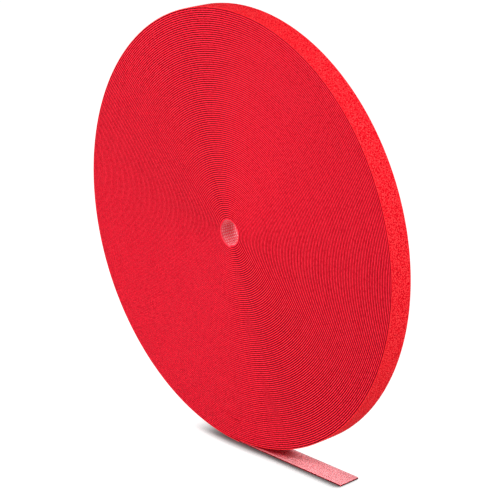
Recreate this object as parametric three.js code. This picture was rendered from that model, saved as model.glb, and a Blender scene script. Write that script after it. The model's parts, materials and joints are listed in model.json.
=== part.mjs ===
// A roll of double-sided hook and loop tape, standing on its rim with its free end laid out on the table.
// The tape is two plies bonded back to back, a napped loop fabric outside and a moulded hook film inside,
// and it is wound on itself with no core. The outer turns are the two plies themselves, each one unbroken
// spiral strip. The turns under them are one plain solid, and the hook ply of the innermost turn lines the
// bore. The free end is a row of short links, hinged end to end, that curl up together onto the rim.
// Millimetres, +Z up. The roll's axis lies along Y and its front face looks along -Y. The origin is on the
// table under the axis, and the free end runs along +X.
import * as THREE from "three";

// Tape
const TAPE_WIDTH = 16;
const LOOP_PLY = 0.55;
const HOOK_PLY = 0.4;
const BOND_LINE = 0.1; // adhesive between the two plies
const TURN_GAP = 0.32; // between one turn and the next

// Roll
const BORE_DIAMETER = 16; // at the end of the innermost turn
const TURNS = 101;
const STRIP_TURNS = 11; // outer turns that are made as strips
const STEPS_PER_TURN = 48; // flats in one turn

// Free end
const FREE_END = 98; // from under the axis to the cut end
const END_GAP = 0.3; // where the end of a strip or a link meets the next piece

// Looks
const LOOP_FABRIC = { color: 0xee1f2d, roughness: 0.95, metalness: 0 };
const HOOK_FILM = { color: 0xf59ca0, roughness: 0.6, metalness: 0 };
const TAPE_EDGES = { color: 0xd91c2c, roughness: 0.9, metalness: 0 };

// Worked out from the sizes above
const tape = LOOP_PLY + BOND_LINE + HOOK_PLY;
const pitch = tape + TURN_GAP;
const outerRadius = BORE_DIAMETER / 2 + tape + TURNS * pitch;
const stepAngle = (2 * Math.PI) / STEPS_PER_TURN;
const loopPly = { outer: 0, inner: LOOP_PLY }; // depths under the tape's outer face
const hookPly = { outer: LOOP_PLY + BOND_LINE, inner: tape };
const lastStripStep = STRIP_TURNS * STEPS_PER_TURN + 1;
const firstBoreStep = (TURNS - 1) * STEPS_PER_TURN + 1;
const lastBoreStep = TURNS * STEPS_PER_TURN + 1;
const linkLength = 2 * (outerRadius - tape) * Math.tan(stepAngle / 2);
const firstHinge = linkLength / 2;

function piece(name, geometry, look) {
  const mesh = new THREE.Mesh(geometry, new THREE.MeshStandardMaterial(look));
  mesh.name = name;
  return mesh;
}

// The wound tape is a spiral of flats, seen here from the front. Corner 1 is the left end of the flat that
// stands on the table, and each corner after it lies one step further clockwise and a little nearer the axis.
function corner(step, depth) {
  const inradius = outerRadius - depth - (pitch * (step - 1)) / STEPS_PER_TURN;
  const radius = inradius / Math.cos(stepAngle / 2);
  const turned = (step - 0.5) * stepAngle;
  return new THREE.Vector2(-radius * Math.sin(turned), outerRadius - radius * Math.cos(turned));
}

// The point a short way past a corner, on the flat that starts there.
function pastCorner(step, depth, distance) {
  const start = corner(step, depth);
  const flat = corner(step + 1, depth).sub(start);
  return start.addScaledVector(flat.normalize(), distance);
}

function corners(first, last, depth) {
  const count = last - first + 1;
  return Array.from({ length: count }, (_, i) => corner(first + i, depth));
}

// The sections of one ply between two corners: where its outer and its inner face are at each.
function plySections(first, last, ply) {
  const inner = corners(first, last, ply.inner);
  return corners(first, last, ply.outer).map((outer, i) => ({ outer, inner: inner[i] }));
}

// One closed strip of the tape's full width through a row of sections.
function stripGeometry(sections) {
  const front = -TAPE_WIDTH / 2;
  const back = TAPE_WIDTH / 2;
  const positions = sections.flatMap(({ outer, inner }) => [
    ...[outer.x, front, outer.y],
    ...[outer.x, back, outer.y],
    ...[inner.x, back, inner.y],
    ...[inner.x, front, inner.y],
  ]);
  const triangles = [];
  const sides = 4;
  for (let i = 0; i + 1 < sections.length; i++) {
    for (let side = 0; side < sides; side++) {
      const a = sides * i + side;
      const b = sides * i + ((side + 1) % sides);
      triangles.push(a, b + sides, b, a, a + sides, b + sides);
    }
  }
  const end = sides * (sections.length - 1);
  triangles.push(0, 1, 2, 0, 2, 3);
  triangles.push(end, end + 2, end + 1, end, end + 3, end + 2);
  const geometry = new THREE.BufferGeometry();
  geometry.setAttribute("position", new THREE.Float32BufferAttribute(positions, 3));
  geometry.setIndex(triangles);
  geometry.computeVertexNormals();
  return geometry;
}

// The least distance from one turn of a strip to another, over its corners and the middles of its flats.
function leastGap(sections) {
  const middle = (a, b) => a.clone().lerp(b, 0.5);
  const points = sections.flatMap((s, i) => {
    const next = sections[Math.min(i + 1, sections.length - 1)];
    return [s, { outer: middle(s.outer, next.outer), inner: middle(s.inner, next.inner) }];
  });
  const halfTurn = STEPS_PER_TURN; // two points to a step
  let least = Infinity;
  points.forEach((here, i) => {
    for (const there of points.slice(i + halfTurn)) {
      least = Math.min(least, here.inner.distanceTo(there.outer));
    }
  });
  return least;
}

function spiralStrip(name, sections, look) {
  console.log(`${name}: least gap to itself ${leastGap(sections).toFixed(2)} mm`);
  return piece(name, stripGeometry(sections), look);
}

// The outer turns of one ply. The strip starts flat on the table, square to the first link of the free end.
function outerTurns(name, ply, look) {
  const startX = firstHinge - END_GAP / 2;
  const start = {
    outer: new THREE.Vector2(startX, ply.outer),
    inner: new THREE.Vector2(startX, ply.inner),
  };
  return spiralStrip(name, [start, ...plySections(1, lastStripStep, ply)], look);
}

// The hook ply of the innermost turn, which lines the bore.
function boreTurn(name) {
  const start = {
    outer: pastCorner(firstBoreStep, hookPly.outer, END_GAP),
    inner: pastCorner(firstBoreStep, hookPly.inner, END_GAP),
  };
  const sections = [start, ...plySections(firstBoreStep + 1, lastBoreStep, hookPly)];
  return spiralStrip(name, sections, HOOK_FILM);
}

// All the turns between those strips, as one solid. Its outline carries on where the outer strips stop, and
// its hole is the inside of the innermost turn's loop ply.
function innerTurns(name) {
  const rim = corners(lastStripStep, lastStripStep + STEPS_PER_TURN, loopPly.outer);
  rim[0] = pastCorner(lastStripStep, loopPly.outer, END_GAP);
  const shape = new THREE.Shape(rim);
  const hole = corners(firstBoreStep, lastBoreStep, loopPly.inner).reverse();
  shape.holes.push(new THREE.Path(hole));
  const geometry = new THREE.ExtrudeGeometry(shape, { depth: TAPE_WIDTH, bevelEnabled: false });
  geometry.translate(0, 0, -TAPE_WIDTH / 2);
  geometry.rotateX(Math.PI / 2);
  return piece(name, geometry, TAPE_EDGES);
}

// One ply of one link, in the link's own frame: its hinge is at the origin, on the face that meets the rim.
function linkPly(name, length, ply, look) {
  const thickness = ply.inner - ply.outer;
  const mesh = piece(name, new THREE.BoxGeometry(length - END_GAP, TAPE_WIDTH, thickness), look);
  mesh.position.set(length / 2, 0, (ply.outer + ply.inner) / 2 - tape);
  return mesh;
}

// The free end, each link hinged to the one before. A link is as long as one flat of the rim, so the curled
// row lies along the flats, and the last link ends at the cut.
function freeEnd() {
  const links = Math.max(1, Math.round((FREE_END - firstHinge) / linkLength));
  const first = new THREE.Group();
  first.position.set(firstHinge, 0, tape);
  let link = first;
  for (let i = 1; i <= links; i++) {
    const cut = FREE_END - firstHinge - (i - 1) * linkLength;
    const length = i < links ? linkLength : cut + END_GAP / 2;
    link.add(linkPly(`free_end_${i}_loop_ply`, length, loopPly, LOOP_FABRIC));
    link.add(linkPly(`free_end_${i}_hook_ply`, length, hookPly, HOOK_FILM));
    if (i < links) {
      const next = new THREE.Group();
      next.position.x = linkLength;
      link.add(next);
      link = next;
    }
  }
  return first;
}

const roll = new THREE.Group();
roll.add(
  innerTurns("inner_turns"),
  outerTurns("outer_turns_loop_ply", loopPly, LOOP_FABRIC),
  outerTurns("outer_turns_hook_ply", hookPly, HOOK_FILM),
  boreTurn("bore_turn_hook_ply"),
  freeEnd(),
);

export default roll;
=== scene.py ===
# The looks of a roll of double-sided hook and loop tape, standing on its rim with its free end on the table.
# The tape is wound here turn by turn: a napped loop fabric outside, bonded to a moulded hook film inside.
# Places on the tape are given along it, across it, and by their depth under its outer, napped face.
import json
import math

import bpy
import numpy as np
from mathutils import Matrix, Vector


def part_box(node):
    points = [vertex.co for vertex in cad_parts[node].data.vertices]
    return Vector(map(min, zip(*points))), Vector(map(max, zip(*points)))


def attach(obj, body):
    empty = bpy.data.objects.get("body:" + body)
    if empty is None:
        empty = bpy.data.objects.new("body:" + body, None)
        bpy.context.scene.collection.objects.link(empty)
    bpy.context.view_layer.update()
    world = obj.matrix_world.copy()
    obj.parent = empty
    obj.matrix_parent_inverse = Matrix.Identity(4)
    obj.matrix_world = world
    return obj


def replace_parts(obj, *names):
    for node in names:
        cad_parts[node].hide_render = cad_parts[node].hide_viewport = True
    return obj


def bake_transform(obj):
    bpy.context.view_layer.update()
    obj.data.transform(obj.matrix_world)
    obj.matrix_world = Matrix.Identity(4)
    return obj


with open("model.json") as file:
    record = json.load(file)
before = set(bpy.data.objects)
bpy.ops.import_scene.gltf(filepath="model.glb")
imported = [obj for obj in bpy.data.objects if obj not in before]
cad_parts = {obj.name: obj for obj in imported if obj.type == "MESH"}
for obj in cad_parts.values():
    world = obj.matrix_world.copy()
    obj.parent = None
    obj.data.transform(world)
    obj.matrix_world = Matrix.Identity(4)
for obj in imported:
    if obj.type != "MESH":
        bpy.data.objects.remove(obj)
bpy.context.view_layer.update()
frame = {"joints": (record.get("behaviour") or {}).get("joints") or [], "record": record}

MM = 0.001
FULL_TURN = 2 * math.pi

# Sizes read from the frame
opening = frame["record"]["physics"]["openings"][0]["box_m"]
hinges = [joint["pos_m"][0] for joint in frame["joints"]]
links = len(hinges)
link_length = hinges[1] - hinges[0]
axis_z = (opening[0][2] + opening[1][2]) / 2
half_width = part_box("free_end_1_loop_ply")[1].y
loop_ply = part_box("free_end_1_loop_ply")[1].z
film_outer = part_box("free_end_1_hook_ply")[0].z
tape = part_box("free_end_1_hook_ply")[1].z
cut_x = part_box(f"free_end_{links}_loop_ply")[1].x

# Winding
TURNS = 101
OUTER_TURNS = 11
BORE_RADIUS = 8 * MM
STEPS_PER_TURN = 90
pitch = (axis_z - BORE_RADIUS - tape) / TURNS

# How unevenly the turns lie
SIDE_WANDER = 0.02 * MM
DEPTH_WANDER = 0.01 * MM
WANDERS_PER_TURN = 2.6
SPARE_WANDERS = 3  # past the last turn
SIDE_SEED = 1
DEPTH_SEED = 2

# Loop fabric
CROWN = 0.16 * MM  # how far the middle of a slit edge stands out past its corners
CROWN_INNER = 0.72  # where the crown ends on the inside, as a share of the ply
CROWN_OUTER = 0.12  # and on the outside, in a wound turn
NAPPED_CROWN_OUTER = 0.28  # and where the napped face shows
GROOVE = 0.3 * MM  # how far the pile between two turns lies back from the slit edges
FRAY = 0.12 * MM  # how far the slit edges spread into the gap between two turns
PILE = 0.54 * MM  # how high the pile stands in that gap, just into the hook film's face
NAP = 0.12 * MM  # depth of the nap's grain
NAP_CELL = 0.5 * MM
RIM_SEED = 3
TAIL_SEED = 10  # plus the number of the link

# Fibre loops that stand out of the rim
FIBRE_LOOPS = 6000
FIBRE_WIDTH = 0.055 * MM
FIBRE_SPAN = 0.55 * MM
FIBRE_RISE = 0.2 * MM
FIBRE_ROOT = 0.6 * NAP  # depth of their feet
FIBRE_SIZES = (0.6, 1.1)  # least and greatest
FIBRE_RINGS = 6
FIBRE_SIDES = 3
FIBRE_SEED = 4
BARE_ANGLE = math.radians(7)  # around the point that the roll stands on

# Hook film
FILM = 0.2 * MM
FILM_BEVEL = 0.04 * MM
BOND_GAP = 0.02 * MM  # left between the bonded plies
HOOK_WIDTH = 0.6 * MM
HOOK_THICKNESS = 0.16 * MM
HOOK_LENGTH = 0.9 * MM  # along the tape
HOOK_ROW = 1.5 * MM  # across the tape
HOOK_STEP = 1.6 * MM  # along the tape
HOOK_PATH = ((0, -0.2), (0.06, 0.35), (0.25, 0.62), (0.6, 0.62), (1, 0.3))  # shares of length and height
film_face = film_outer + FILM
hook_height = tape - film_face

# Free end
END_ROUNDING = 0.9 * MM
END_STEPS = 6  # along the rounding
END_DRAW = 0.6  # how much of a full round the corners of the cut end have
TAIL_STEP = 0.5 * MM

# Noise in the looks. A grain is given as its sizes along, across and through the tape.
FINE_DETAIL = 2.0
PLAIN_DETAIL = 1.0
CELL_SCATTER = 0.6

# Look of the loop fabric. A bump is given as its strength and its height.
FIBRE_GRAIN = (0.75 * MM, 0.7 * MM, 0.7 * MM)
LOOP_CELLS = (0.95 * MM, 1.0 * MM, 0.95 * MM)
LOOP_SHARE = 0.5  # how much the lines between the loops darken the nap
LOOP_MIDDLE = 0.2  # about what that comes to on average
NAP_COLOURS = ((0.26, (0.46, 0.0, 0.004)), (0.45, (0.82, 0.004, 0.016)), (0.62, (0.92, 0.06, 0.065)))
NAP_ROUGHNESS = (0.6, 0.8)
NAP_BUMP = (0.5, 0.12 * MM)
NAP_SPECULAR = 0.02
RIM_SLIT_EDGE = (0.95, 0.02, 0.035)
# painted shade along the free end's slit edges and cut end, on its loop ply
TAIL_SHADED_EDGE = (0.07, 0.0, 0.003)

# Look of the slit edges in the wound turns
YARN_GRAIN = (1.6 * MM, 0.3 * MM, 0.2 * MM)
DASH_GRAIN = (2.4 * MM, 8 * MM, 8 * MM)
STRETCH_GRAIN = (60 * MM, 8 * MM, 8 * MM)
DASH_SHARE = 0.75
STRETCH_SHARE = 0.25
EDGE_SHADES = ((0.38, (0.8, 0.4, 0.6)), (0.5, (0.97, 0.75, 0.85)), (0.62, (1.0, 1.0, 1.0)))
# painted shade, darkest at the groove's floor and lighter up its flanks
PAINTED_GROOVE_SHADE = ((0.2, (0.05, 0.0, 0.002)), (0.5, (0.6, 0.0, 0.01)))
# the fabric's own red on the crowns, paler at their middles as a painted sheen
CROWN_COLOURS_AND_SHEEN = ((0.8, (1.0, 0.004, 0.022)), (0.96, (1.0, 0.036, 0.07)))
EDGE_ROUGHNESS = (0.4, 0.6)
EDGE_BUMP = (0.3, 0.06 * MM)
EDGE_SPECULAR = 0.0

# Look of the hook film
MOULD_GRAIN = (1.2 * MM, 1.0 * MM, 0.5 * MM)
FLOW_GRAIN = (14 * MM, 1.5 * MM, 5 * MM)
MOULD_SHARE = 0.7
FLOW_SHARE = 0.3
FILM_ROUGHNESS = (0.4, 0.6)
FILM_BUMP = (0.25, 0.05 * MM)
FILM_SPECULAR = 0.1
TAIL_EDGE_REACH = 0.25 * MM
BORE_EDGE_REACH = 0.4 * MM
PAINTED_SHADE_REACH = 8 * MM  # how near the rim is where the painted shade and its red bounce light show on the film
PAINTED_SHADE_RANGE = (0.35, 0.75)  # open sky, as a share, where that painted shade is full and where it is gone
# painted shade under the rim, red like the light that the rim bounces onto the film
PAINTED_ROOT_SHADE_RED = (0.55, 0.008, 0.03)

# Colours of the hook film: darker, middle and lighter, at these tones of its grain
TONES = (0.34, 0.5, 0.66)
PINK = ((0.72, 0.2, 0.22), (0.85, 0.32, 0.35), (0.92, 0.42, 0.45))
PALE_PINK = ((0.84, 0.38, 0.41), (0.93, 0.46, 0.49), (0.98, 0.54, 0.57))
# painted shade along the free end's slit edges and cut end, on its film
SHADED_EDGE_RED = ((0.07, 0.0, 0.003), (0.1, 0.001, 0.004), (0.14, 0.002, 0.006))
# the same film as on the free end, painted redder and darker for the shade and red bounce light inside the
# bore
BORE_SHADED_PINK = ((0.86, 0.05, 0.085), (0.94, 0.12, 0.165), (1.0, 0.23, 0.28))
# hook tips in their own paler colour, lightened further than on the free end as painted glints
BORE_TIPS_AND_GLINTS = ((0.95, 0.5, 0.54), (1.0, 0.6, 0.64), (1.0, 0.7, 0.74))
BRIGHT_RED = ((0.9, 0.0, 0.02), (0.96, 0.002, 0.026), (1.0, 0.006, 0.034))
DEEP_RED = ((0.7, 0.0, 0.014), (0.8, 0.001, 0.02), (0.9, 0.002, 0.026))
# painted shade on the film's slit edges in the wound turns, for the dark lines between the turns
SHADED_FILM_EDGE = ((0.18, 0.0, 0.002), (0.22, 0.0, 0.003), (0.28, 0.0, 0.004))

# Camera, fitted to the photograph's rim, bore and free end
CAMERA_AZIMUTH = math.radians(49.492)
CAMERA_ELEVATION = math.radians(18.165)
CAMERA_ROLL = math.radians(-2.424)
CAMERA_DISTANCE = 1149.24 * MM
CAMERA_RIGHT = 6.6 * MM
CAMERA_UP = -13.1 * MM
CAMERA_LENS = 127.491
CAMERA_SENSOR = 36
CAMERA_CLIP = (0.1, 100)

# Light: where each lamp is, its size and its power
LAMPS = {
    "key": ((0, -0.85, 1.0), 0.35, 9),
    "side": ((0.98, 0.33, 0.85), 0.4, 12.5),
    "front": ((-0.75, -1.0, 0.2), 0.4, 10.5),
}
SKY = (0.08, 0.22)  # light from the horizon and from straight above
WHITE = (1.0, 1.0, 1.0, 1.0)

# Table top
TABLE_REACH = 6.0
TABLE_DROP = 0.05 * MM  # below the roll
TABLE_COLOUR = (0.8, 0.8, 0.8)
TABLE_SEEN = (0.16, 0.16, 0.16)  # where it is seen, under its own glow
SHADE_SIDE = (0.33, 0.9, -0.3)  # the way that its shadow looks for the roll
SHADE_STEPS = (  # how near the roll is, and how much of the glow it takes away there
    (2 * MM, 0.08),
    (4 * MM, 0.18),
    (5.5 * MM, 0.24),
    (7.5 * MM, 0.25),
    (9.5 * MM, 0.25),
)
SHADE_FULL = 0.88  # open sky, as a share, where the shadow is full
OCCLUSION_SAMPLES = 16


# Shapes


def add_piece(name, points, faces, places, material, slot):
    """A mesh piece. places holds where each point is on the tape: along, across and depth."""
    mesh = bpy.data.meshes.new(name)
    corners = np.concatenate([f.ravel() for f in faces]).astype(np.int32)
    sizes = np.concatenate([np.full(len(f), f.shape[1]) for f in faces])
    mesh.vertices.add(len(points))
    mesh.vertices.foreach_set("co", points.astype(np.float32).ravel())
    mesh.loops.add(len(corners))
    mesh.loops.foreach_set("vertex_index", corners)
    mesh.polygons.add(len(sizes))
    mesh.polygons.foreach_set("loop_start", (np.cumsum(sizes) - sizes).astype(np.int32))
    mesh.polygons.foreach_set("use_smooth", np.ones(len(sizes), bool))
    mesh.update(calc_edges=True)
    attribute = mesh.attributes.new("tape", "FLOAT_VECTOR", "POINT")
    attribute.data.foreach_set("vector", places.astype(np.float32).ravel())
    mesh.materials.append(material)
    piece = bpy.data.objects.new(name, mesh)
    bpy.context.scene.collection.objects.link(piece)
    return piece


def wander(turned, size, seed):
    """A slow drift along the tape, none at its start, eased from one seeded value to the next."""
    count = round(TURNS * WANDERS_PER_TURN) + SPARE_WANDERS
    values = np.random.default_rng(seed).normal(0, size, count)
    step = turned / FULL_TURN * WANDERS_PER_TURN
    before = np.floor(step).astype(int)
    share = step - before
    ease = share * share * (3 - 2 * share)
    return (values[before] * (1 - ease) + values[before + 1] * ease) * np.clip(step, 0, 1)


def along_at(turned):
    """How far along the tape a point of the roll is, from the cut end."""
    return cut_x + axis_z * turned - pitch * turned**2 / (2 * FULL_TURN)


def wind(turned, across, depth):
    """Points and places of the wound tape. turned is clockwise from the table, seen from the front."""
    turned, across, depth = np.broadcast_arrays(turned, across, depth)
    radius = axis_z - depth - wander(turned, DEPTH_WANDER, DEPTH_SEED) - pitch * turned / FULL_TURN
    side = across + wander(turned, SIDE_WANDER, SIDE_SEED)
    points = np.stack([-radius * np.sin(turned), side, axis_z - radius * np.cos(turned)], -1)
    return points, np.stack([along_at(turned), across, depth], -1)


def lay(x, across, depth):
    """Points and places of the free end, flat on the table."""
    x, across, depth = np.broadcast_arrays(x, across, depth)
    return np.stack([x, across, depth], -1), np.stack([cut_x - x, across, depth], -1)


def strip_faces(stations, sides):
    """Faces of a closed strip or tube: its sides, and a cap on each end."""
    first = np.arange(stations - 1)[:, None] * sides
    side = np.arange(sides)
    after = (side + 1) % sides
    quads = np.stack([first + side, first + side + sides, first + after + sides, first + after], -1)
    start = np.arange(sides)[None, :]
    end = np.arange(sides)[None, ::-1] + (stations - 1) * sides
    return [quads.reshape(-1, 4), start, end]


def strip(points, places):
    """A strip's points, faces and places, from the rows of its sections' points and places."""
    return points.reshape(-1, 3), strip_faces(*points.shape[:2]), places.reshape(-1, 3)


def joined(*parts):
    """Several closed shapes as one: points, faces and places."""
    points, faces, places, count = [], [], [], 0
    for part_points, part_faces, part_places in parts:
        points.append(part_points.reshape(-1, 3))
        faces.extend(f + count for f in part_faces)
        places.append(part_places.reshape(-1, 3))
        count += len(points[-1])
    return np.concatenate(points), faces, np.concatenate(places)


def flipped(faces):
    """The same faces, looking the other way."""
    return [f[:, ::-1] for f in faces]


def section(front, middle=()):
    """A whole section, as across and depth, from its front half and any points between the two halves."""
    back = [(-across, depth) for across, depth in reversed(front)]
    return np.array([*front, *middle, *back]).T


def fabric_section():
    """A wound turn of the loop ply: two crowned slit edges, and the pile between them that fills the gap."""
    edge = -half_width
    return section(
        [
            (edge + CROWN, loop_ply),
            (edge, CROWN_INNER * loop_ply),
            (edge, CROWN_OUTER * loop_ply),
            (edge + CROWN, -FRAY),
            (edge + GROOVE, -FRAY),
            (edge + GROOVE, -PILE),
        ]
    )


def film_section():
    """The film with the adhesive that bonds it to the loop ply."""
    edge = -half_width
    outer = loop_ply + BOND_GAP
    return section(
        [
            (edge + FILM_BEVEL, film_face),
            (edge, film_face - FILM_BEVEL),
            (edge, outer + FILM_BEVEL),
            (edge + FILM_BEVEL, outer),
        ]
    )


def napped_section():
    """The loop ply where its napped face shows, with points all the way across that face."""
    edge = -half_width
    count = round(2 * half_width / NAP_CELL)
    face = [(across, 0.0) for across in np.linspace(edge + CROWN, -edge - CROWN, count)]
    front = [
        (edge + CROWN, loop_ply),
        (edge, CROWN_INNER * loop_ply),
        (edge, NAPPED_CROWN_OUTER * loop_ply),
    ]
    return section(front, face)


def wound_strip(first_turn, last_turn, across_and_depth):
    """A strip of one section, wound from one turn to another."""
    steps = round((last_turn - first_turn) * STEPS_PER_TURN)
    turned = np.linspace(first_turn, last_turn, steps + 1)[:, None] * FULL_TURN
    return strip(*wind(turned, *across_and_depth))


def grain(rows, columns, seed):
    """Seeded grain from 0 to 1 over a grid, a couple of cells wide."""
    values = np.random.default_rng(seed).random((rows, columns))
    for axis in (0, 1):
        values = (np.roll(values, 1, axis) + 2 * values + np.roll(values, -1, axis)) / 4
    return (values - values.min()) / np.ptp(values)


def nap_depths(depth, stations, seed):
    """A section's depth at each station, sunk by the nap's grain where its napped face is."""
    napped = (depth == 0.0) * NAP
    return depth + napped * grain(stations, len(depth), seed)


def tail_stations(first, last):
    """Where the free end's sections lie between two points along it, closer at a rounded cut end."""
    round_from = last - END_ROUNDING if last == cut_x else last
    stations = np.linspace(first, round_from, round((round_from - first) / TAIL_STEP) + 1)
    if last < cut_x:
        return stations
    rounding = np.sin(np.linspace(0, math.pi / 2, END_STEPS + 1)[1:])
    return np.concatenate([stations, round_from + END_ROUNDING * rounding])


def rounded_across(x, across):
    """The section's places across the tape, drawn in where the corners of the cut end are rounded."""
    past = np.clip(x - (cut_x - END_ROUNDING), 0, END_ROUNDING)
    drawn_in = END_ROUNDING - np.sqrt(END_ROUNDING**2 - past**2)
    return across * (1 - END_DRAW * drawn_in / half_width)


def hook_shape():
    """One hook as points along, across and up, in rings of four, and its faces."""
    path = np.array(HOOK_PATH) * (HOOK_LENGTH, hook_height)
    heading = np.gradient(path, axis=0)
    heading /= np.linalg.norm(heading, axis=1)[:, None]
    out = np.stack([-heading[:, 1], heading[:, 0]], -1) * HOOK_THICKNESS / 2
    side = HOOK_WIDTH / 2
    rings = [
        [(a + p, b * side, c + q) for p, q, b in ((u, v, 1), (u, v, -1), (-u, -v, -1), (-u, -v, 1))]
        for (a, c), (u, v) in zip(path, out)
    ]
    return np.array(rings).reshape(-1, 3), strip_faces(len(path), 4)


def fibre_shape():
    """One fibre loop as points along, across and up, in rings, and its faces."""
    turn = np.linspace(0, math.pi, FIBRE_RINGS)
    path = np.stack([-np.cos(turn) / 2, 0 * turn, np.sin(turn)], -1)
    lean = np.stack([-np.cos(turn), 0 * turn, np.sin(turn)], -1)
    corner = np.arange(FIBRE_SIDES) * FULL_TURN / FIBRE_SIDES
    across = np.cos(corner)[None, :, None] * FIBRE_WIDTH / 2
    out = np.sin(corner)[None, :, None] * FIBRE_WIDTH / 2
    rings = path[:, None] * (FIBRE_SPAN, 1, FIBRE_RISE) + across * (0, 1, 0) + out * lean[:, None]
    return rings.reshape(-1, 3), strip_faces(FIBRE_RINGS, FIBRE_SIDES)


def scattered(shape, headings, sizes):
    """Copies of a shape, each scaled and turned about its upright, as along, across, up and faces."""
    points, faces = shape
    a, b, up = points.T
    c, s = np.cos(headings)[:, None], np.sin(headings)[:, None]
    sizes = sizes[:, None]
    offsets = np.arange(len(headings))[:, None, None] * len(points)
    copies = [(f[None] + offsets).reshape(-1, f.shape[1]) for f in faces]
    return sizes * (c * a - s * b), sizes * (s * a + c * b), sizes * up, copies


def hook_grid(first, last):
    """Where hooks stand between two points along the tape: along, across and the way each one faces."""
    rows = int(2 * (half_width - HOOK_ROW / 2) / HOOK_ROW)
    across = (np.arange(rows) - (rows - 1) / 2) * HOOK_ROW
    numbers = np.arange(math.ceil(first / HOOK_STEP), math.ceil(last / HOOK_STEP))
    row, number = np.meshgrid(np.arange(rows), numbers, indexing="ij")
    along = (number + 0.5 * (row % 2)) * HOOK_STEP
    facing = np.where(row % 2, math.pi, 0.0)
    keep = (along > first + HOOK_STEP / 4) & (along < last - HOOK_STEP / 4)
    return along[keep], across[row[keep]], facing[keep]


def hooks_between(first, last):
    """All the hooks between two points along the tape: along, across, depth and faces."""
    along, across, facing = hook_grid(first, last)
    a, b, up, faces = scattered(hook_shape(), facing, np.ones(len(along)))
    return along[:, None] + a, across[:, None] + b, film_face + up, faces


# Materials


def node(tree, kind, inputs=None, **settings):
    made = tree.nodes.new(kind)
    for name, value in settings.items():
        setattr(made, name, value)
    for name, value in (inputs or {}).items():
        if isinstance(value, bpy.types.NodeSocket):
            tree.links.new(value, made.inputs[name])
        else:
            made.inputs[name].default_value = value
    return made


def new_material(name):
    material = bpy.data.materials.new(name)
    material.use_nodes = True
    material.node_tree.nodes.clear()
    return material, material.node_tree


def tape_place(tree):
    return node(tree, "ShaderNodeAttribute", attribute_name="tape").outputs["Vector"]


def scaled_place(tree, place, sizes):
    """The place on the tape, counted in these sizes along, across and through it."""
    scale = tuple(1 / size for size in sizes)
    return node(tree, "ShaderNodeMapping", {"Vector": place, "Scale": scale}).outputs["Vector"]


def noise(tree, place, grains, detail):
    """Noise whose grains are so long along, across and through the tape, in metres."""
    inputs = {"Vector": scaled_place(tree, place, grains), "Scale": 1.0, "Detail": detail}
    return node(tree, "ShaderNodeTexNoise", inputs).outputs["Fac"]


def cells(tree, place, sizes):
    """0 in the middle of rounded cells of those sizes, rising towards the lines between them."""
    inputs = {"Vector": scaled_place(tree, place, sizes), "Scale": 1.0, "Randomness": CELL_SCATTER}
    return node(tree, "ShaderNodeTexVoronoi", inputs).outputs["Distance"]


def ramp(tree, fac, stops):
    stops = list(stops)
    made = node(tree, "ShaderNodeValToRGB", {"Fac": fac})
    elements = made.color_ramp.elements
    while len(elements) < len(stops):
        elements.new(0.5)
    for element, (position, colour) in zip(elements, stops):
        element.position = position
        element.color = (*colour, 1.0)
    return made.outputs["Color"]


def math_node(tree, operation, a, b=0.0, c=0.0):
    return node(tree, "ShaderNodeMath", {0: a, 1: b, 2: c}, operation=operation).outputs["Value"]


def weighted(tree, a, a_share, b, b_share):
    return math_node(tree, "MULTIPLY_ADD", a, a_share, math_node(tree, "MULTIPLY", b, b_share))


def between(tree, fac, low, high):
    """The low value where fac is 0, rising to the high one where it is 1."""
    return node(tree, "ShaderNodeMapRange", {"Value": fac, "To Min": low, "To Max": high}).outputs["Result"]


def share_of(tree, value, low, high):
    """0 at the low value, rising to 1 at the high one."""
    inputs = {"Value": value, "From Min": low, "From Max": high}
    return node(tree, "ShaderNodeMapRange", inputs).outputs["Result"]


def open_sky(tree, reach, **inputs):
    """1 where nothing stands within reach of a point, falling to 0 where all of its sky is covered."""
    inputs = {"Distance": reach, **inputs}
    return node(tree, "ShaderNodeAmbientOcclusion", inputs, samples=OCCLUSION_SAMPLES).outputs["AO"]


def mixed(tree, fac, a, b, blend="MIX"):
    made = node(tree, "ShaderNodeMix", data_type="RGBA", blend_type=blend)
    for index, value in ((0, fac), (6, a), (7, b)):
        if isinstance(value, bpy.types.NodeSocket):
            tree.links.new(value, made.inputs[index])
        else:
            made.inputs[index].default_value = value if index == 0 else (*value, 1.0)
    return made.outputs[2]


def near_edge(tree, place, reach):
    """1 on the tape's slit edges and cut end, falling to 0 that far in from them."""
    parts = node(tree, "ShaderNodeSeparateXYZ", {"Vector": place}).outputs
    inside = math_node(tree, "SUBTRACT", half_width, math_node(tree, "ABSOLUTE", parts["Y"]))
    inside = math_node(tree, "MINIMUM", inside, parts["X"])
    inputs = {"Value": inside, "From Min": 0.0, "From Max": reach, "To Min": 1.0, "To Max": 0.0}
    return node(tree, "ShaderNodeMapRange", inputs).outputs["Result"]


def finish_surface(tree, colour, roughness, height, bump, specular):
    """A Principled surface with its bump. The specular level is the same all over."""
    strength, distance = bump
    shaped = node(tree, "ShaderNodeBump", {"Height": height, "Strength": strength, "Distance": distance})
    inputs = {"Base Color": colour, "Roughness": roughness, "Normal": shaped.outputs["Normal"]}
    shader = node(tree, "ShaderNodeBsdfPrincipled", inputs)
    shader.inputs["Specular IOR Level"].default_value = specular
    node(tree, "ShaderNodeOutputMaterial", {"Surface": shader.outputs["BSDF"]})


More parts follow.
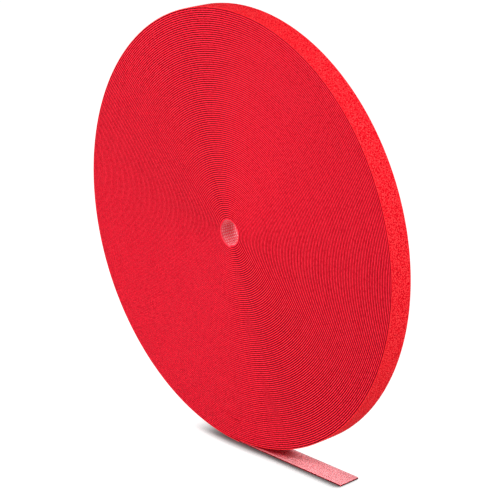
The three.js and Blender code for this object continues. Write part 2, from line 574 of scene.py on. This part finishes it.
def loop_fabric(name, edge_colour_and_shade):
    """The napped face: bright red with a fine dark grain, and a set colour along its slit edges: their own
    red on the rim, painted shade on the free end.
    """
    material, tree = new_material(name)
    place = tape_place(tree)
    fibre = noise(tree, place, FIBRE_GRAIN, FINE_DETAIL)
    loops = cells(tree, place, LOOP_CELLS)
    lines = math_node(tree, "MULTIPLY_ADD", loops, LOOP_SHARE, -LOOP_MIDDLE)
    face = ramp(tree, math_node(tree, "SUBTRACT", fibre, lines), NAP_COLOURS)
    colour = mixed(tree, near_edge(tree, place, CROWN), face, edge_colour_and_shade)
    roughness = between(tree, fibre, *NAP_ROUGHNESS)
    finish_surface(tree, colour, roughness, fibre, NAP_BUMP, NAP_SPECULAR)
    return material


def tape_edges(name):
    """The slit edges of the fabric in the wound turns: red along the crowns, paler at their middles as a
    painted sheen, with painted shade down the flanks into the grooves.
    """
    material, tree = new_material(name)
    place = tape_place(tree)
    yarn = noise(tree, place, YARN_GRAIN, FINE_DETAIL)
    dash = noise(tree, place, DASH_GRAIN, PLAIN_DETAIL)
    stretch = noise(tree, place, STRETCH_GRAIN, PLAIN_DETAIL)
    shade = ramp(tree, weighted(tree, stretch, STRETCH_SHARE, dash, DASH_SHARE), EDGE_SHADES)
    # painted shade into the grooves and a painted sheen along the crowns
    profile = ramp(tree, near_edge(tree, place, GROOVE), PAINTED_GROOVE_SHADE + CROWN_COLOURS_AND_SHEEN)
    colour = mixed(tree, 1.0, profile, shade, "MULTIPLY")
    roughness = between(tree, yarn, *EDGE_ROUGHNESS)
    finish_surface(tree, colour, roughness, yarn, EDGE_BUMP, EDGE_SPECULAR)
    return material


def hook_film(name, sheet, tips, edges, edge_reach, covered=None):
    """The moulded film, from the colour of its sheet to that of its hooks' tips, with a set colour along its
    slit edges: the film's own red in the bore, painted shade on the free end and in the wound turns.
    The last argument, when given, is a painted shade in the red of light bounced from the rim, where the rim
    of the roll hangs close over the film."""
    material, tree = new_material(name)
    place = tape_place(tree)
    mould = noise(tree, place, MOULD_GRAIN, FINE_DETAIL)
    flow = noise(tree, place, FLOW_GRAIN, FINE_DETAIL)
    tone = weighted(tree, flow, FLOW_SHARE, mould, MOULD_SHARE)
    depth = node(tree, "ShaderNodeSeparateXYZ", {"Vector": place}).outputs["Z"]
    up_hook = share_of(tree, depth, film_face, tape)
    face = mixed(tree, up_hook, ramp(tree, tone, zip(TONES, sheet)), ramp(tree, tone, zip(TONES, tips)))
    # the colour along the slit edges: painted shade on the free end and in the wound turns
    edge = ramp(tree, tone, zip(TONES, edges))
    colour = mixed(tree, near_edge(tree, place, edge_reach), face, edge)
    # painted shade and red bounce light where the rim hangs close over the film, from occlusion
    if covered:
        clear = share_of(tree, open_sky(tree, PAINTED_SHADE_REACH), *PAINTED_SHADE_RANGE)
        colour = mixed(tree, clear, covered, colour)
    roughness = between(tree, mould, *FILM_ROUGHNESS)
    finish_surface(tree, colour, roughness, mould, FILM_BUMP, FILM_SPECULAR)
    return material


# Pieces


def wound_fabric(name, first, last, material, slot):
    piece = add_piece(name, *wound_strip(first, last, fabric_section()), material, slot)
    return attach(piece, "roll")


def wound_film(name, first, last, material):
    piece = add_piece(name, *wound_strip(first, last, film_section()), material, "hook_film")
    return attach(piece, "roll")


def rim_turn(name, material):
    """The outermost turn of the loop ply, with its napped face outside."""
    across, depth = napped_section()
    steps = round(FULL_TURN * axis_z / NAP_CELL)
    turned = np.linspace(0, FULL_TURN, steps + 1)[:, None]
    rim = strip(*wind(turned, across, nap_depths(depth, steps + 1, RIM_SEED)))
    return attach(add_piece(name, *rim, material, "loop_fabric"), "roll")


def rim_fibres(name, material):
    """Fibre loops that stand out of the rim, apart from where the roll presses on the table."""
    random = np.random.default_rng(FIBRE_SEED)
    turned = random.uniform(BARE_ANGLE, FULL_TURN - BARE_ANGLE, FIBRE_LOOPS)
    reach = half_width - FIBRE_SPAN
    across = random.uniform(-reach, reach, FIBRE_LOOPS)
    headings = random.uniform(0, FULL_TURN, FIBRE_LOOPS)
    sizes = random.uniform(*FIBRE_SIZES, FIBRE_LOOPS)
    a, b, up, faces = scattered(fibre_shape(), headings, sizes)
    points, places = wind(turned[:, None] + a / axis_z, across[:, None] + b, FIBRE_ROOT - up)
    loops = joined((points, flipped(faces), places))
    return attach(add_piece(name, *loops, material, "loop_fabric"), "roll")


def bore_turn(name, material):
    """The innermost turn of the hook film, with its hooks towards the axis."""
    along, across, depth, faces = hooks_between(0, FULL_TURN * BORE_RADIUS)
    turned = (TURNS - 1) * FULL_TURN + along / BORE_RADIUS
    points, places = wind(turned, across, depth)
    film = joined(wound_strip(TURNS - 1, TURNS, film_section()), (points, faces, places))
    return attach(add_piece(name, *film, material, "hook_film"), "roll")


def tail_fabric(name, first, last, material, seed):
    across, depth = napped_section()
    x = tail_stations(first, last)[:, None]
    points, places = lay(x, rounded_across(x, across), nap_depths(depth, len(x), seed))
    return add_piece(name, *strip(points[::-1], places[::-1]), material, "loop_fabric")


def tail_film(name, first, last, material):
    across, depth = film_section()
    x = tail_stations(first, last)[::-1, None]
    sheet = strip(*lay(x, rounded_across(x, across), depth))
    *hooks, faces = hooks_between(first, last)
    points, places = lay(*hooks)
    return add_piece(name, *joined(sheet, (points, flipped(faces), places)), material, "hook_film")


def tail_link(number, fabric, film):
    """The stretch of the free end from the middle of one link to the middle of the next, over their hinge."""
    hinge = hinges[number - 1]
    first = hinge - link_length / 2
    last = hinge + link_length / 2 if number < links else cut_x
    body = f"free_end_{number}"
    plies = {
        "loop_ply": tail_fabric(f"tail_{number}_loop_fabric", first, last, fabric, TAIL_SEED + number),
        "hook_ply": tail_film(f"tail_{number}_hook_film", first, last, film),
    }
    for ply, piece in plies.items():
        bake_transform(piece)
        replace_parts(piece, f"{body}_{ply}")


# Stage


def white_seen(tree):
    """1 for rays that show the background itself: from the camera, or by way of gloss or glass."""
    path = node(tree, "ShaderNodeLightPath")
    seen = math_node(tree, "MAXIMUM", path.outputs["Is Camera Ray"], path.outputs["Is Glossy Ray"])
    return math_node(tree, "MAXIMUM", seen, path.outputs["Is Transmission Ray"])


def add_world():
    """A soft sky, white where it is seen."""
    world = bpy.data.worlds.new("studio")
    world.use_nodes = True
    tree = world.node_tree
    tree.nodes.clear()
    heading = node(tree, "ShaderNodeTexCoord").outputs["Generated"]
    height = node(tree, "ShaderNodeSeparateXYZ", {"Vector": heading}).outputs["Z"]
    strength = math_node(tree, "MAXIMUM", white_seen(tree), between(tree, height, *SKY))
    light = node(tree, "ShaderNodeBackground", {"Color": WHITE, "Strength": strength})
    node(tree, "ShaderNodeOutputWorld", {"Surface": light.outputs["Background"]})
    bpy.context.scene.world = world


def white_table():
    """It glows white where it is seen, apart from where the roll or its tail comes close."""
    material, tree = new_material("white table")
    seen = white_seen(tree)
    shade_side = node(tree, "ShaderNodeCombineXYZ", dict(zip("XYZ", SHADE_SIDE))).outputs["Vector"]
    clear = 0.0
    for reach, glow in SHADE_STEPS:
        away = share_of(tree, open_sky(tree, reach, Normal=shade_side), SHADE_FULL, 1.0)
        clear = math_node(tree, "MULTIPLY_ADD", away, glow, clear)
    shade = node(tree, "ShaderNodeBsdfDiffuse", {"Color": mixed(tree, seen, TABLE_COLOUR, TABLE_SEEN)})
    strength = math_node(tree, "MULTIPLY", seen, clear)
    light = node(tree, "ShaderNodeEmission", {"Color": WHITE, "Strength": strength})
    both = node(tree, "ShaderNodeAddShader", {0: shade.outputs["BSDF"], 1: light.outputs["Emission"]})
    node(tree, "ShaderNodeOutputMaterial", {"Surface": both.outputs["Shader"]})
    return material


def add_floor():
    mesh = bpy.data.meshes.new("table_top")
    signs = ((-1, -1), (1, -1), (1, 1), (-1, 1))
    corners = [(x * TABLE_REACH, y * TABLE_REACH, -TABLE_DROP) for x, y in signs]
    mesh.from_pydata(corners, [], [(0, 1, 2, 3)])
    mesh.materials.append(white_table())
    floor = bpy.data.objects.new("table_top", mesh)
    bpy.context.scene.collection.objects.link(floor)


def add_lamp(name, place, size, power):
    """A soft box that faces the middle of the roll."""
    data = bpy.data.lights.new(name, "AREA")
    data.shape = "SQUARE"
    data.size = size
    data.energy = power
    lamp = bpy.data.objects.new(name, data)
    lamp.location = place
    lamp.rotation_euler = (Vector((0, 0, axis_z)) - Vector(place)).to_track_quat("-Z", "Y").to_euler()
    bpy.context.scene.collection.objects.link(lamp)


def add_camera():
    level = math.cos(CAMERA_ELEVATION)
    right = Vector((math.cos(CAMERA_AZIMUTH), math.sin(CAMERA_AZIMUTH), 0))
    back = Vector((right.y * level, -right.x * level, math.sin(CAMERA_ELEVATION)))
    up = back.cross(right)
    target = Vector((0, 0, axis_z)) + right * CAMERA_RIGHT + up * CAMERA_UP
    rolled_right = right * math.cos(CAMERA_ROLL) + up * math.sin(CAMERA_ROLL)
    rolled_up = up * math.cos(CAMERA_ROLL) - right * math.sin(CAMERA_ROLL)
    data = bpy.data.cameras.new("camera")
    data.lens = CAMERA_LENS
    data.sensor_width = CAMERA_SENSOR
    data.clip_start, data.clip_end = CAMERA_CLIP
    camera = bpy.data.objects.new("camera", data)
    turn = Matrix((rolled_right, rolled_up, back)).transposed()
    camera.matrix_world = Matrix.Translation(target + back * CAMERA_DISTANCE) @ turn.to_4x4()
    bpy.context.scene.collection.objects.link(camera)
    bpy.context.scene.camera = camera


add_camera()
add_world()
add_floor()
for lamp_name, (lamp_place, lamp_size, lamp_power) in LAMPS.items():
    add_lamp(lamp_name, lamp_place, lamp_size, lamp_power)

rim_look = loop_fabric("rim loop fabric", RIM_SLIT_EDGE)
tail_look = loop_fabric("free end loop fabric", TAIL_SHADED_EDGE)
edge_look = tape_edges("tape edges")
tail_film_look = hook_film("hook film", PINK, PALE_PINK, SHADED_EDGE_RED, TAIL_EDGE_REACH, PAINTED_ROOT_SHADE_RED)
bore_film_look = hook_film("bore hook film", BORE_SHADED_PINK, BORE_TIPS_AND_GLINTS, BRIGHT_RED, BORE_EDGE_REACH)
wound_film_look = hook_film("wound hook film", DEEP_RED, DEEP_RED, SHADED_FILM_EDGE, FILM_BEVEL)

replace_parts(rim_turn("rim_loop_fabric", rim_look), "outer_turns_loop_ply")
rim_fibres("rim_fibre_loops", rim_look)
wound_fabric("outer_turns_loop_fabric", 1, OUTER_TURNS, edge_look, "loop_fabric")
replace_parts(wound_film("outer_turns_hook_film", 0, OUTER_TURNS, wound_film_look), "outer_turns_hook_ply")
inner_fabric = wound_fabric("inner_turns_loop_fabric", OUTER_TURNS, TURNS, edge_look, "tape_edges")
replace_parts(inner_fabric, "inner_turns")
wound_film("inner_turns_hook_film", OUTER_TURNS, TURNS - 1, wound_film_look)
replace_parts(bore_turn("bore_hook_film", bore_film_look), "bore_turn_hook_ply")
for link_number in range(1, links + 1):
    tail_link(link_number, tail_look, tail_film_look)

bpy.context.scene.view_settings.view_transform = "Standard"
